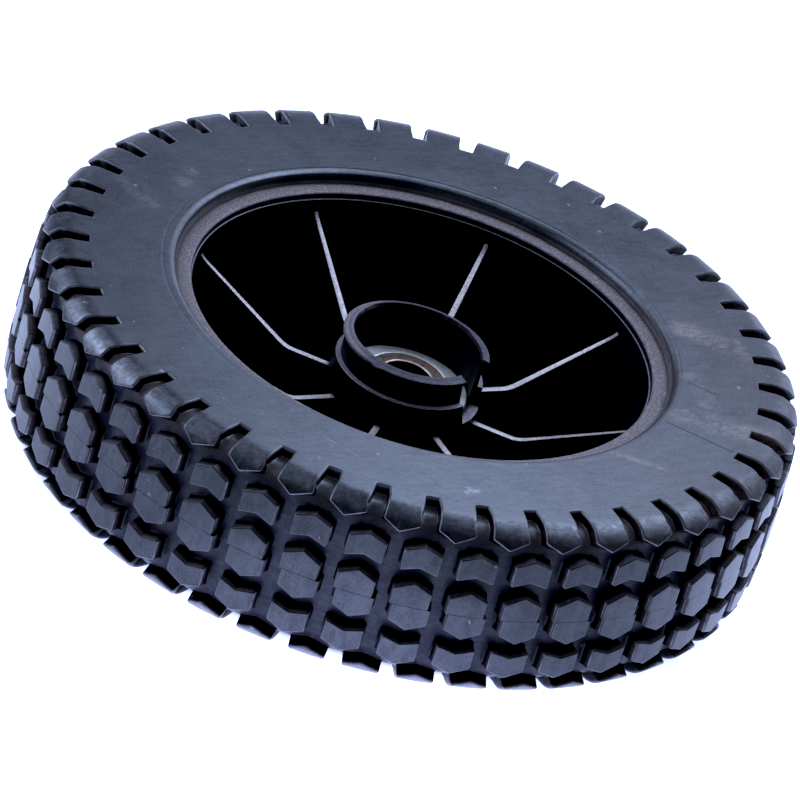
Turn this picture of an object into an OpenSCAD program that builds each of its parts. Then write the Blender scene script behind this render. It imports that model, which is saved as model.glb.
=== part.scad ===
// Small machine wheel: moulded plastic rim with eight ribs, grey rubber tyre with a
// honeycomb tread, and a ball bearing in each end of the hub. The wheel axis is Z and
// the dished face with the split collar looks up. The origin is the middle of the tyre.

/* [Tyre] */
// Outer diameter of the tread
tyre_d = 200; // [196:1:206]
// Width of the tyre between its flat sidewalls
tyre_w = 49.2; // [48.4:0.2:50.4]
// Radius of the rounded shoulder
shoulder_r = 7.6; // [6.8:0.2:8.2]
// Drop of the tread from the centre line to the shoulder
crown_drop = 0.6; // [0.2:0.1:1]
// Depth of the tread grooves
groove_depth = 4.1; // [3.5:0.1:5]
// Radius of the sharp inner edge of the flat sidewall
lip_edge_r = 66.35; // [65.8:0.1:68]
// Radius at which the bead lip meets the rim flange
lip_foot_r = 64.2; // [63.6:0.1:64.8]

/* [Tread] */
// Number of tread pitches around the tyre
pitch_count = 44; // [40:1:44]
// Width of the centre hexagons and of the chevron blocks
block_w = 9.9; // [9:0.1:10.2]
// Height of the hexagon corners above the centre line
hex_corner = 4.7; // [4.2:0.1:5]
// Height of the hexagon tips above the centre line
hex_tip = 7; // [6.6:0.1:7.4]
// Height of the chevron's two inner corners
chev_in_corner = 9.6; // [9.4:0.1:10]
// Height of the chevron's inner notch
chev_notch = 11.2; // [11:0.1:11.6]
// Height of the chevron's two outer corners
chev_out_corner = 15.6; // [15.2:0.1:15.9]
// Height of the chevron's outer peak
chev_peak = 17.5; // [17:0.1:17.8]
// Height of the tip of each shoulder block
shoulder_tip = 19.6; // [19.4:0.1:20.2]
// Height of the two corners beside that tip
shoulder_corner = 21.8; // [21.4:0.1:22.4]
// Radius at which the shoulder slots end in the sidewall
slot_end_r = 87.25; // [86:0.25:88.5]
// Depth of the shoulder slots at that end
slot_depth = 2.7; // [2:0.1:3.4]
// Width of a shoulder slot as a share of the pitch
slot_share = 0.3; // [0.2:0.02:0.34]
// Sideways offset of the lower half of the tread at the moulding line
mould_shift = 0.8; // [0:0.1:1]

/* [Rim] */
// Outer radius of the two tyre flanges
flange_r = 66; // [65.8:0.1:66.2]
// Height of the flange faces above the middle of the tyre
flange_z = 21.25; // [21:0.05:21.5]
// Thickness of the flanges
flange_t = 2.45; // [2.2:0.05:2.8]
// Outer radius of the barrel that carries the tyre
barrel_r = 62; // [61.5:0.1:62.3]
// Inner radius of the barrel at its mouth
mouth_r = 60.05; // [59.8:0.05:60.3]
// Height of the thin ledge below the mouth
ledge_z = 19.4; // [18.8:0.1:19.8]
// Inner radius of the barrel at the web
barrel_foot_r = 57.2; // [56:0.1:58]
// Height of the front face of the web
web_z = -8; // [-8.5:0.1:-7.6]
// Thickness of the web
web_t = 3; // [2.6:0.1:3.3]
// Radius of the rounding on the flange's inner edge
mouth_round = 0.9; // [0.4:0.1:1.2]

/* [Ribs] */
// Number of ribs
rib_count = 8; // [5:1:9]
// Thickness of a rib
rib_t = 1.8; // [1.4:0.1:2.4]
// Height of the level inner stretch of a rib
rib_level_z = 0; // [-2:0.5:2]
// Radius at which the rib's edge starts to rise
rib_bend_r = 32; // [28:1:40]
// Height of the rib's edge at the barrel
rib_end_z = 16; // [12:0.5:17.5]
// Angle of the first rib
rib_angle = 1.2; // [0:0.1:20]

/* [Hub] */
// Radius of the step around the collar
step_r = 19.33; // [19.2:0.05:20]
// Height of that step
step_z = 8.05; // [7.5:0.05:9]
// Outer radius of the collar wall
collar_r = 18; // [17.9:0.05:18.4]
// Radius of the snap lip at the collar's top
snap_r = 19.1; // [18.8:0.05:19.4]
// Height of the collar's inner top edge
collar_z = 16.15; // [15.5:0.05:17]
// Height of the collar's outer top edge
snap_z = 15.35; // [15:0.05:15.45]
// Middle angle of the gap in the collar
gap_angle = 126.8; // [0:0.1:359]
// Opening angle of the gap in the collar
gap_open = 41.5; // [30:0.5:60]
// Height of the floor of that gap
gap_floor_z = 2.4; // [1.5:0.1:4]

/* [Bearings] */
// Bore diameter for the axle
bore_d = 12.7; // [12:0.1:13.2]
// Outer diameter of the bearing shell
shell_d = 32.8; // [32.6:0.1:33]
// Diameter of one ball
ball_d = 4.76; // [4.5:0.01:4.8]
// Diameter of the circle through the ball centres
ball_circle_d = 23.8; // [23.6:0.1:24]
// Number of balls in one bearing
ball_count = 15; // [10:1:15]
// Height of the front ball ring
ball_z = -1.9; // [-2:0.05:-1.8]

/* [Hidden] */
$fn = 96;
half_w = tyre_w / 2;
crown_r = tyre_d / 2;
shoulder_top_r = crown_r - crown_drop;
arc_r = shoulder_top_r - shoulder_r;
arc_z = half_w - shoulder_r;
floor_r = crown_r - groove_depth;
slot_floor_z = half_w - slot_depth;
slot_arc = 4.9;
pitch = 360 / pitch_count;
web_back_z = web_z - web_t;
seat_r = shell_d / 2 + 0.05;
seat_front_z = ball_z - 5.6;
seat_back_z = seat_front_z - 3.35;
mirror_z = seat_front_z + seat_back_z;
race_gap = 0.15;
eps = 0.1;

// Half section of the whole tyre up to the tread's outer surface
module tyre_outline() {
    polygon([[75, -half_w], [arc_r, -half_w], [shoulder_top_r, -arc_z], [crown_r, -5],
        [crown_r, 5], [shoulder_top_r, arc_z], [arc_r, half_w], [75, half_w]]);
    for (s = [-1, 1]) translate([arc_r, s * arc_z]) circle(r = shoulder_r);
}

// Half section of the tyre body below the tread blocks, with the seat for the rim
module carcass_outline() {
    lip_mid_r = (lip_edge_r + lip_foot_r) / 2;
    polygon([
        [barrel_r + 0.1, -(flange_z - flange_t)], [barrel_r + 0.1, flange_z - flange_t],
        [flange_r + 0.1, flange_z - flange_t], [flange_r + 0.1, flange_z],
        [lip_foot_r, flange_z], [lip_foot_r + 0.35, flange_z + 1.5],
        [lip_mid_r + 0.25, half_w - 0.75], [lip_edge_r, half_w],
        [slot_end_r, half_w], [slot_end_r, slot_floor_z],
        [floor_r - slot_arc, slot_floor_z], [floor_r, slot_floor_z - slot_arc],
        [floor_r, -(slot_floor_z - slot_arc)], [floor_r - slot_arc, -slot_floor_z],
        [slot_end_r, -slot_floor_z], [slot_end_r, -half_w],
        [lip_edge_r, -half_w], [lip_mid_r + 0.25, -(half_w - 0.75)],
        [lip_foot_r + 0.35, -(flange_z + 1.5)], [lip_foot_r, -flange_z],
        [flange_r + 0.1, -flange_z], [flange_r + 0.1, -(flange_z - flange_t)]]);
    for (s = [-1, 1])
        translate([floor_r - slot_arc, s * (slot_floor_z - slot_arc)])
            circle(r = slot_arc);
}

// A prism that stands outwards from the tread at one pitch angle, from a shape drawn
// with its width along the tread and its height along the axle
module outward(at) {
    rotate([0, 0, at * pitch]) translate([floor_r - 2.5, 0, 0])
        rotate([90, 0, 90]) linear_extrude(height = groove_depth + 4) children();
}

// Centre hexagon with the small step at its moulding line
module hexagon() {
    w = block_w / 2;
    m = mould_shift;
    polygon([[-w, 0], [-w, hex_corner], [0, hex_tip], [w, hex_corner], [w, 0],
        [w + m, 0], [w + m, -hex_corner], [m, -hex_tip], [m - w, -hex_corner],
        [m - w, 0]]);
}

// Chevron block beside the hexagons, on side s
module chevron(s) {
    w = block_w / 2;
    m = s < 0 ? mould_shift : 0;
    polygon([[m - w, s * chev_in_corner], [m - w, s * chev_out_corner],
        [m, s * chev_peak], [m + w, s * chev_out_corner], [m + w, s * chev_in_corner],
        [m, s * chev_notch]]);
}

// Pointed shoulder block between two slots, on side s
module shoulder_block(at, s) {
    a = pitch * (1 - slot_share) / 2;
    slope = (shoulder_corner - shoulder_tip)
        / (crown_r * sin(a));
    shift = s < 0 ? asin(mould_shift / crown_r) : 0;
    rotate([0, 0, at * pitch + shift]) intersection() {
        translate([0, 0, s > 0 ? 10 : -40]) linear_extrude(height = 30)
            polygon([[80 * cos(a), 80 * sin(a)], [110 * cos(a), 110 * sin(a)],
                [110 * cos(a), -110 * sin(a)], [80 * cos(a), -80 * sin(a)]]);
        translate([slot_end_r - 3, 0, 0]) rotate([90, 0, 90])
            linear_extrude(height = 30)
                polygon([[0, s * shoulder_tip], [10, s * (shoulder_tip + 10 * slope)],
                    [10, s * 30], [-10, s * 30], [-10, s * (shoulder_tip + 10 * slope)]]);
    }
}

// Rubber tyre: body, shoulder slots and honeycomb tread in one moulding
module tyre() {
    color([0.36, 0.39, 0.45]) union() {
        rotate_extrude() carcass_outline();
        intersection() {
            rotate_extrude() tyre_outline();
            union() for (i = [0 : pitch_count - 1]) {
                outward(i) hexagon();
                for (s = [-1, 1]) {
                    outward(i) chevron(s);
                    shoulder_block(i + 0.5, s);
                }
            }
        }
    }
}

// Half section of the rim: barrel with both flanges, web and hub tube
module rim_outline() {
    fz = flange_z;
    r = mouth_round;
    draft = 0.082;
    polygon([
        // collar and its snap lip
        [seat_r, 4.4], [seat_r + 0.15, 4.8], [seat_r + 0.15, collar_z - 0.2],
        [seat_r + 0.3, collar_z], [snap_r - 0.15, snap_z + 0.05], [snap_r, snap_z - 0.15],
        [snap_r, snap_z - 0.6], [collar_r, snap_z - 2.1], [collar_r, step_z],
        [step_r - 0.3, step_z], [step_r, step_z - 0.3],
        // hub tube, web and barrel on the dished side
        [step_r + draft * (step_z - web_z - 1), web_z + 1],
        [step_r + draft * (step_z - web_z) + 1, web_z],
        [barrel_foot_r - 1, web_z], [barrel_foot_r, web_z + 1],
        [mouth_r - 0.8, ledge_z - 0.3], [mouth_r - 0.4, ledge_z], [mouth_r, ledge_z],
        [mouth_r, fz - r], [mouth_r + r, fz],
        // flanges and the tyre seat
        [flange_r, fz], [flange_r, fz - flange_t], [barrel_r, fz - flange_t],
        [barrel_r, flange_t - fz], [flange_r, flange_t - fz], [flange_r, -fz],
        [mouth_r + r, -fz], [mouth_r, r - fz],
        // barrel, web and hub tube on the plain side
        [barrel_foot_r, web_back_z - 1], [barrel_foot_r - 1, web_back_z],
        [step_r + 1.8, web_back_z], [step_r + 0.8, web_back_z - 1],
        [step_r, mirror_z - 3.75], [step_r - 0.3, mirror_z - 4.05],
        [seat_r + 0.3, mirror_z - 4.05], [seat_r, mirror_z - 3.75],
        // bearing seats and the shoulder between them
        [seat_r, seat_back_z], [seat_r - 2.45, seat_back_z],
        [seat_r - 2.45, seat_front_z], [seat_r, seat_front_z]]);
    for (s = [-1, 1]) translate([mouth_r + r, s * (fz - r)]) circle(r = r);
}

// One rib, drawn along X from the hub tube to the barrel
module rib() {
    translate([0, rib_t / 2, 0]) rotate([90, 0, 0]) linear_extrude(height = rib_t)
        polygon([[step_r - 0.5, web_z - 1], [step_r - 0.5, rib_level_z],
            [rib_bend_r, rib_level_z], [mouth_r + 0.5, rib_end_z],
            [mouth_r + 0.5, web_z - 1]]);
}

// Plastic rim in one moulding
module rim() {
    color([0.08, 0.08, 0.09]) difference() {
        union() {
            rotate_extrude() rim_outline();
            for (i = [0 : rib_count - 1]) rotate([0, 0, rib_angle + i * 360 / rib_count])
                rib();
        }
        rotate([0, 0, gap_angle - gap_open / 2]) rotate_extrude(angle = gap_open)
            translate([15.5, gap_floor_z]) square([6, collar_z - gap_floor_z + 2]);
    }
}

// Zinc-plated stamped shell with the outer raceway
module outer_race() {
    r = shell_d / 2;
    lip = bore_d / 2 + 3.9;
    rotate_extrude() difference() {
        polygon([[13.3, seat_front_z], [r, seat_front_z], [r, ball_z + 5.1],
            [r - 0.4, ball_z + 5.65], [lip + 0.5, ball_z + 7.05], [lip, ball_z + 7],
            [lip, ball_z + 6.1], [12.9, ball_z + 5.3], [13.3, ball_z + 4.8]]);
        translate([ball_circle_d / 2, ball_z]) circle(r = ball_d / 2 + race_gap);
    }
}

// Inner race with the axle bore
module inner_race() {
    b = bore_d / 2;
    rotate_extrude() difference() {
        polygon([[b, ball_z - 5.9], [b + 0.4, ball_z - 6.3], [10.2, ball_z - 6.3],
            [10.4, ball_z - 6.1], [10.4, ball_z + 4.7], [b + 3.6, ball_z + 5.1],
            [b + 3.6, ball_z + 7.25], [b + 3.3, ball_z + 7.55], [b + 0.45, ball_z + 7.55],
            [b, ball_z + 7.1]]);
        translate([ball_circle_d / 2, ball_z]) circle(r = ball_d / 2 + race_gap);
    }
}

// Full ring of balls
module ball_ring() {
    for (i = [0 : ball_count - 1]) rotate([0, 0, i * 360 / ball_count])
        translate([ball_circle_d / 2, 0, ball_z]) sphere(d = ball_d);
}

// The back bearing is the front one turned over in its own seat
module turned_over() {
    translate([0, 0, mirror_z]) mirror([0, 0, 1]) children();
}

module front_outer_race() { color([0.72, 0.72, 0.7]) outer_race(); }
module front_inner_race() { color([0.5, 0.4, 0.3]) inner_race(); }
module front_balls() { color([0.8, 0.8, 0.8]) ball_ring(); }
module back_outer_race() { color([0.72, 0.72, 0.7]) turned_over() outer_race(); }
module back_inner_race() { color([0.5, 0.4, 0.3]) turned_over() inner_race(); }
module back_balls() { color([0.8, 0.8, 0.8]) turned_over() ball_ring(); }

tyre();
rim();
front_outer_race();
front_inner_race();
front_balls();
back_outer_race();
back_inner_race();
back_balls();
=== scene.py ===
import math

import bpy
import bmesh
import numpy as np
from mathutils import Matrix, Vector, noise
from mathutils.geometry import delaunay_2d_cdt


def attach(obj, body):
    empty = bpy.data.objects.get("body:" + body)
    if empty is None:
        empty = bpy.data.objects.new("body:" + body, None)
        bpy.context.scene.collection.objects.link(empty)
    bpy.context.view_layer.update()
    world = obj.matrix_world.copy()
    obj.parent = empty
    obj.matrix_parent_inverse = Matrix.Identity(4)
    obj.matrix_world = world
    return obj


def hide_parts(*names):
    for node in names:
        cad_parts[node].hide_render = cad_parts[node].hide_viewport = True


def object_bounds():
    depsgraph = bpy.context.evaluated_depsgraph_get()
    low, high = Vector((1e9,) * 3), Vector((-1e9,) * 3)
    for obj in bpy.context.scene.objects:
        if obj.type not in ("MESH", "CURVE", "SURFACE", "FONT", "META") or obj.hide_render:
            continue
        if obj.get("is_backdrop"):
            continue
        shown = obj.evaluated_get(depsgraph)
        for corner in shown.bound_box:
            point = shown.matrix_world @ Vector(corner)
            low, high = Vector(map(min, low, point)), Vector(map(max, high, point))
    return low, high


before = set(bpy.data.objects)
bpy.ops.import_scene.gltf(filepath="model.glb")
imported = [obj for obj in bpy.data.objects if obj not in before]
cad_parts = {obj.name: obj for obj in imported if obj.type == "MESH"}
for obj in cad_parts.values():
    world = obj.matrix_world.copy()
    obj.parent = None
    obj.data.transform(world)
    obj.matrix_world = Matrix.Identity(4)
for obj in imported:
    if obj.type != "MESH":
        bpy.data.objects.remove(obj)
cad_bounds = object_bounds()

MM = 0.001

# ---------------------------------------------------------------- camera
# Long lens, 55.5 degrees round from +X and 30 degrees up, level with the photo's framing.
cam_right = Vector((-0.87139909, 0.41685200, 0.25864653))
cam_down = Vector((0.02542714, 0.56490125, -0.82476666))
cam_fwd = Vector((-0.48991538, -0.71212428, -0.50285379))
cam_data = bpy.data.cameras.new("camera")
cam_data.sensor_fit = "HORIZONTAL"
cam_data.sensor_width = 36.0
cam_data.lens = 415.57
cam_data.clip_start = 0.1
cam_data.clip_end = 50.0
cam = bpy.data.objects.new("camera", cam_data)
bpy.context.scene.collection.objects.link(cam)
rot = Matrix((cam_right, -cam_down, -cam_fwd)).transposed().to_4x4()
cam.matrix_world = Matrix.Translation((1.14658784, 1.66709257, 1.17494221)) @ rot
bpy.context.scene.camera = cam

# ---------------------------------------------------------------- shared sizes (mm)
HALF_W = 24.6          # half width of the tyre
CROWN_R = 100.0
SHOULDER_TOP_R = 99.4
SHOULDER_R = 7.6
ARC_R = SHOULDER_TOP_R - SHOULDER_R
ARC_Z = HALF_W - SHOULDER_R
FLOOR_R = 95.9
SLOT_FLOOR_Z = 21.9
SLOT_ARC = 4.9
LIP_EDGE_R = 66.35
LIP_FOOT_R = 64.2
FLANGE_Z = 21.25
FLANGE_T = 2.45
FLANGE_R = 66.0
BARREL_R = 62.0
MOUTH_R = 60.05
LEDGE_Z = 19.4
BARREL_FOOT_R = 57.2
WEB_Z = -8.0
WEB_BACK_Z = -11.0
STEP_R = 19.33
STEP_Z = 8.05
COLLAR_R = 18.0
SNAP_R = 19.1
SNAP_Z = 15.35
COLLAR_Z = 16.15
SEAT_R = 16.45
SEAT_FRONT_Z = -7.5
SEAT_BACK_Z = -10.85
MIRROR_Z = SEAT_FRONT_Z + SEAT_BACK_Z
PITCHES = 44
PITCH = 360.0 / PITCHES
PW = 14.28             # one pitch along the crown


# ---------------------------------------------------------------- mesh helpers
def new_object(name, verts, faces, smooth_angle=35.0, scale=MM):
    me = bpy.data.meshes.new(name)
    me.from_pydata([tuple(float(c) * scale for c in v) for v in verts], [],
                   [tuple(int(i) for i in f) for f in faces])
    me.validate(clean_customdata=False)
    bm = bmesh.new()
    bm.from_mesh(me)
    bmesh.ops.remove_doubles(bm, verts=bm.verts, dist=0.004 * MM)
    bmesh.ops.dissolve_degenerate(bm, edges=bm.edges, dist=0.002 * MM)
    bmesh.ops.recalc_face_normals(bm, faces=bm.faces)
    bm.to_mesh(me)
    bm.free()
    ob = bpy.data.objects.new(name, me)
    bpy.context.scene.collection.objects.link(ob)
    me.shade_smooth()
    me.set_sharp_from_angle(angle=math.radians(smooth_angle))
    return ob


def rounded(points, closed=True):
    """Points with a rounding radius each, as a denser outline: [(x, y, r, n), ...]."""
    out = []
    n = len(points)
    for i, p in enumerate(points):
        x, y, r = p[0], p[1], p[2] if len(p) > 2 else 0
        k = p[3] if len(p) > 3 else 3
        if r <= 0 or (not closed and i in (0, n - 1)):
            out.append((x, y))
            continue
        a = np.array(points[(i - 1) % n][:2], float) - (x, y)
        b = np.array(points[(i + 1) % n][:2], float) - (x, y)
        la, lb = np.linalg.norm(a), np.linalg.norm(b)
        a, b = a / la, b / lb
        ang = math.acos(max(-1, min(1, float(a @ b))))
        if abs(math.pi - ang) < 1e-3:
            out.append((x, y))
            continue
        t = r / math.tan(ang / 2)
        t = min(t, la * 0.499, lb * 0.499)
        r2 = t * math.tan(ang / 2)
        mid = (a + b) / np.linalg.norm(a + b)
        c = np.array((x, y)) + mid * (r2 / math.sin(ang / 2))
        p0 = np.array((x, y)) + a * t
        p1 = np.array((x, y)) + b * t
        a0 = math.atan2(*(p0 - c)[::-1])
        a1 = math.atan2(*(p1 - c)[::-1])
        d = (a1 - a0 + math.pi) % (2 * math.pi) - math.pi
        for j in range(k + 1):
            w = a0 + d * j / k
            out.append((c[0] + r2 * math.cos(w), c[1] + r2 * math.sin(w)))
    return out


def revolve(outline, steps, start=0.0, sweep=360.0):
    """A closed outline of (radius, height) turned about Z. Returns verts, faces."""
    full = abs(sweep - 360.0) < 1e-9
    cols = steps if full else steps + 1
    m = len(outline)
    verts, faces = [], []
    for i in range(cols):
        a = math.radians(start + sweep * i / steps)
        ca, sa = math.cos(a), math.sin(a)
        verts += [(r * ca, r * sa, z) for r, z in outline]
    for i in range(steps):
        i2 = (i + 1) % cols
        for j in range(m):
            j2 = (j + 1) % m
            faces.append((i * m + j, i2 * m + j, i2 * m + j2, i * m + j2))
    if not full:
        faces.append(tuple(range(m))[::-1])
        faces.append(tuple((cols - 1) * m + j for j in range(m)))
    return verts, faces


# ---------------------------------------------------------------- tyre
S_ARC0 = 5 + math.hypot(SHOULDER_TOP_R - CROWN_R, ARC_Z - 5)
S_ARC1 = S_ARC0 + SHOULDER_R * math.pi / 2
SLOT_END_S = S_ARC1 + (ARC_R - 87.25)
TOP_S = 35.6
MOULD_SHIFT = 0.8      # how far the lower half's pattern is turned against the upper one, mm


def outer(s):
    """Tread surface at arc length s from the centre line: (radius, height)."""
    if s <= 5:
        return CROWN_R, s
    if s <= S_ARC0:
        k = (s - 5) / (S_ARC0 - 5)
        return CROWN_R + (SHOULDER_TOP_R - CROWN_R) * k, 5 + (ARC_Z - 5) * k
    if s <= S_ARC1:
        a = (s - S_ARC0) / SHOULDER_R
        return ARC_R + SHOULDER_R * math.cos(a), ARC_Z + SHOULDER_R * math.sin(a)
    return ARC_R - (s - S_ARC1), HALF_W


def floor_at(s):
    """Groove floor below that point."""
    cr, cz = FLOOR_R - SLOT_ARC, SLOT_FLOOR_Z - SLOT_ARC
    if s <= S_ARC0:
        return FLOOR_R, s * cz / S_ARC0
    if s <= S_ARC1:
        a = (s - S_ARC0) / SHOULDER_R
        return cr + SLOT_ARC * math.cos(a), cz + SLOT_ARC * math.sin(a)
    k = (s - S_ARC1) / (SLOT_END_S - S_ARC1)
    return cr + (87.55 - cr) * k, SLOT_FLOOR_Z


def at_depth(x, s, d):
    e, c = outer(s), floor_at(s)
    return (x * PITCH / PW, e[0] + (c[0] - e[0]) * d, e[1] + (c[1] - e[1]) * d)


# how far outside a block's outline each ring of its wall lies, and how deep
WALL = [(-0.42, 0.0), (-0.27, 0.008), (-0.09, 0.030), (0.03, 0.085), (0.08, 0.17),
        (0.32, 0.92), (0.66, 1.0)]


def outline_rings(points, closed):
    """A block outline as points and the direction in which each moves outwards."""
    P, M = [], []
    n = len(points)
    for i, p in enumerate(points):
        x, y, r = p[0], p[1], p[2]
        k = p[3] if len(p) > 3 else 3
        here = np.array((x, y), float)
        if not closed and i in (0, n - 1):
            o = points[1] if i == 0 else points[-2]
            d = np.array(o[:2], float) - here
            if i:
                d = -d
            d /= np.linalg.norm(d)
            nrm = np.array((d[1], -d[0]))
            # slides along the cell's side so that neighbouring cells meet
            fixed = p[4] if len(p) > 4 else "x"
            M.append(np.array((0, 1 / nrm[1])) if fixed == "x" else np.array((1 / nrm[0], 0)))
            P.append(here)
            continue
        a = np.array(points[(i - 1) % n][:2], float) - here
        b = np.array(points[(i + 1) % n][:2], float) - here
        a /= np.linalg.norm(a)
        b /= np.linalg.norm(b)
        na, nb = np.array((-a[1], a[0])), np.array((b[1], -b[0]))
        if r <= 0:
            m = na + nb
            m /= m @ m / 2
            P.append(here)
            M.append(m)
            continue
        ang = math.acos(max(-1, min(1, float(a @ b))))
        t = r / math.tan(ang / 2)
        mid = (a + b) / np.linalg.norm(a + b)
        c = here + mid * (r / math.sin(ang / 2))
        p0 = here + a * t
        sign = 1.0 if (p0 - c) @ na > 0 else -1.0
        a0 = math.atan2(*(p0 - c)[::-1])
        p1 = here + b * t
        a1 = math.atan2(*(p1 - c)[::-1])
        d = (a1 - a0 + math.pi) % (2 * math.pi) - math.pi
        for j in range(k + 1):
            w = a0 + d * j / k
            u = np.array((math.cos(w), math.sin(w)))
            P.append(c + r * u)
            M.append(u * sign)
    return np.array(P), np.array(M)


def subdivide(P, M, longest):
    """Adds points on the long straight stretches of an outline."""
    Q, N = [P[0]], [M[0]]
    for i in range(1, len(P)):
        k = max(1, int(math.ceil(np.linalg.norm(P[i] - P[i - 1]) / longest)))
        for j in range(1, k + 1):
            w = j / k
            Q.append(P[i - 1] * (1 - w) + P[i] * w)
            N.append(M[i - 1] * (1 - w) + M[i] * w)
    return np.array(Q), np.array(N)


def inside(poly, x, y):
    hit = False
    n = len(poly)
    for i in range(n):
        x0, y0 = poly[i]
        x1, y1 = poly[(i + 1) % n]
        if (y0 > y) != (y1 > y) and x < (x1 - x0) * (y - y0) / (y1 - y0) + x0:
            hit = not hit
    return hit


def half_cell(shift):
    """One pitch of one half of the tyre, from the centre line to the flat sidewall, as
    (angle, radius, height) and faces. shift is how far the other half's pattern is turned."""
    verts, faces = [], []

    def add(x, s, d):
        verts.append(at_depth(x, s, d))
        return len(verts) - 1

    h = PW / 2
    # each outline runs so that its outside is on the right-hand side of its travel
    hexagon = [(-4.95, 0, 0, 0, "y"), (-4.95, 4.7, 0.55), (0, 7.05, 0.55), (4.95, 4.7, 0.55),
               (4.95, 0, 0, 0, "y")][::-1]
    chevron = [(-4.88, 9.6, 0.5), (-4.88, 15.6, 0.55), (0, 17.5, 0.6), (4.88, 15.6, 0.55),
               (4.88, 9.6, 0.5), (0, 11.15, 1.3)][::-1]
    tip = (-h - 0.5, 19.62)
    foot = (-h + 4.71, 22.1)
    cut_y = tip[1] + 0.5 * (foot[1] - tip[1]) / (foot[0] - tip[0])
    shoulder = [(-h, cut_y, 0), (foot[0], foot[1], 0.6), (-2.67, 24.5, 0),
                (-3.02, 25.25, 0), (-2.62, 27.0, 0), (-2.28, 30.0, 0),
                (-2.02, SLOT_END_S, 0), (1.86, SLOT_END_S, 0),
                (2.28, 30.0, 0), (2.22, 25.25, 0), (2.16, 24.6, 0), (2.11, 22.2, 0.6),
                (h - 0.5, 19.62, 0.75), (h, cut_y, 0)]
    pts_floor, ids_floor, edges_floor = [], [], []

    def build(points, closed, longest):
        P, M = outline_rings(points, closed)
        if closed:
            P, M = np.vstack([P, P[:1]]), np.vstack([M, M[:1]])
        P, M = subdivide(P, M, longest)
        if closed:
            P, M = P[:-1], M[:-1]
        rings = []
        for off, d in WALL:
            rings.append([add(p[0] + m[0] * off, max(0.0, p[1] + m[1] * off), d)
                          for p, m in zip(P, M)])
        n = len(P)
        for a, b in zip(rings[:-1], rings[1:]):
            for i in range(n if closed else n - 1):
                j = (i + 1) % n
                faces.append((a[i], a[j], b[j], b[i]))
        outer_off, inner_off = WALL[-1][0], WALL[0][0]
        out = [(p[0] + m[0] * outer_off, max(0.0, p[1] + m[1] * outer_off)) for p, m in zip(P, M)]
        inn = [(p[0] + m[0] * inner_off, max(0.0, p[1] + m[1] * inner_off)) for p, m in zip(P, M)]
        base = len(pts_floor)
        pts_floor.extend(out)
        ids_floor.extend(rings[-1])
        edges_floor.extend((base + i, base + (i + 1) % n) for i in range(n if closed else n - 1))
        return inn, rings, out

    in_hex, r_hex, out_hex = build(hexagon, False, 2.6)
    in_chev, r_chev, out_chev = build(chevron, True, 2.6)
    in_sh, r_sh, out_sh = build(shoulder, False, 1.5)

    def fill(points, ids, edges, keep, d, grid):
        """Triangles over a region: given border points and inner points on a grid."""
        pts = [Vector(p) for p in points]
        idm = list(ids)
        border = np.array(points)
        for gx, gy in grid:
            if keep(gx, gy) and np.min(np.hypot(border[:, 0] - gx, border[:, 1] - gy)) > 0.6:
                pts.append(Vector((gx, gy)))
                idm.append(add(gx, gy, d))
        vo, _, fo, orig, _, _ = delaunay_2d_cdt(pts, edges, [], 0, 1e-5)
        for f in fo:
            cx = sum(vo[i][0] for i in f) / 3
            cy = sum(vo[i][1] for i in f) / 3
            if not keep(cx, cy):
                continue
            ii = [idm[orig[i][0]] for i in f]
            if len(set(ii)) == 3:
                faces.append(tuple(ii))

    def chain(pts, ids, xs, d):
        idx = []
        for x, y in xs:
            pts.append((x, y))
            ids.append(add(x, y, d))
            idx.append(len(pts) - 1)
        return idx

    # top of the half hexagon; its points on the centre line are shared with the other half
    n = len(in_hex)
    edge_x = 4.95 + WALL[0][0]
    own = [-1.0, 1.8] if shift > 0 else [-1.8, 1.0]
    row = sorted(own + [(-edge_x + shift) if shift > 0 else (edge_x + shift)])
    pts, ids = list(in_hex), list(r_hex[0])
    mid = chain(pts, ids, [(x, 0.0) for x in row], 0.0)
    order = [n - 1] + mid + [0]      # the outline ends on the left
    ed = [(i, i + 1) for i in range(n - 1)] + list(zip(order[:-1], order[1:]))
    grid = [(x, y) for x in (-2.6, 0, 2.6) for y in (2.2, 4.4)]
    fill(pts, ids, ed, lambda x, y: inside(in_hex, x, y), 0.0, grid)
    n = len(in_chev)
    ed = [(i, (i + 1) % n) for i in range(n)]
    grid = [(x, y) for x in (-2.6, 0, 2.6) for y in (12.4, 14.8)]
    fill(in_chev, r_chev[0], ed, lambda x, y: inside(in_chev, x, y), 0.0, grid)

    # shoulder block and sidewall
    side_s = [20.9, 22.4, 24.0, 25.5, 27.0, 28.4, 30.0, 32.4, 34.2]
    n = len(in_sh)
    pts, ids = list(in_sh), list(r_sh[0])
    ed = [(i, i + 1) for i in range(n - 1)]
    rside = chain(pts, ids, [(h, s) for s in side_s], 0.0)
    top = chain(pts, ids, [(h - i * PW / 8, TOP_S) for i in range(9)], 0.0)
    lside = chain(pts, ids, [(-h, s) for s in reversed(side_s)], 0.0)
    loop = [n - 1] + rside + top + lside + [0]
    ed += list(zip(loop[:-1], loop[1:]))
    outline = list(in_sh) + [(h, TOP_S), (-h, TOP_S)]
    grid = [(x, y) for x in np.arange(-5.7, 5.8, 1.9) for y in side_s]
    fill(pts, ids, ed, lambda x, y: inside(outline, x, y), 0.0, grid)

    # groove floor
    def in_floor(x, y):
        if y < 0 or inside(out_hex, x, y) or inside(out_chev, x, y):
            return False
        return inside([(-h, -0.01)] + list(out_sh) + [(h, -0.01)], x, y)

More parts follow.
